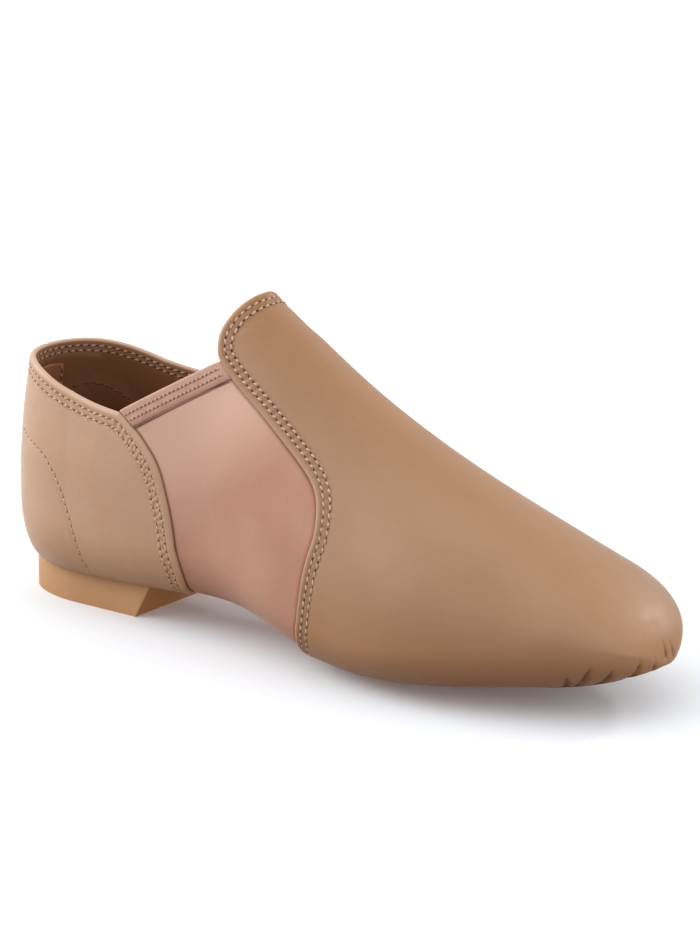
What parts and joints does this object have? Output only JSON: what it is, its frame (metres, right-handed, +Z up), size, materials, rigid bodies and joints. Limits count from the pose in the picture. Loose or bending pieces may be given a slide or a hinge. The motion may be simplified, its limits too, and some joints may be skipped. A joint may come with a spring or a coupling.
{
  "type": "jazz shoe",
  "caption": "Slip-on jazz shoe for the right foot: soft hollow leather upper with stretch gores, split forefoot sole patch and low block heel.",
  "frame": {"origin": "middle of the shoe's plan box, on the floor it stands on", "axes": "+X towards the toe, +Y towards the wearer's left (the inner side of this right shoe), +Z up"},
  "size_m": [0.25, 0.0832, 0.1112],
  "materials": {
    "tan_leather": "soft smooth leather, low sheen",
    "gore_elastic": "matte fine knit",
    "lining": "matte",
    "heel_rubber": "matte",
    "sole_suede": "brushed suede"
  },
  "bodies": {
    "root": {"upper": "tan_leather", "insole": "lining", "forefoot_sole": "sole_suede", "heel": "heel_rubber", "back_strip": "lining", "gore_band_lateral": "gore_elastic", "gore_band_medial": "gore_elastic"}
  },
  "joints": []
}
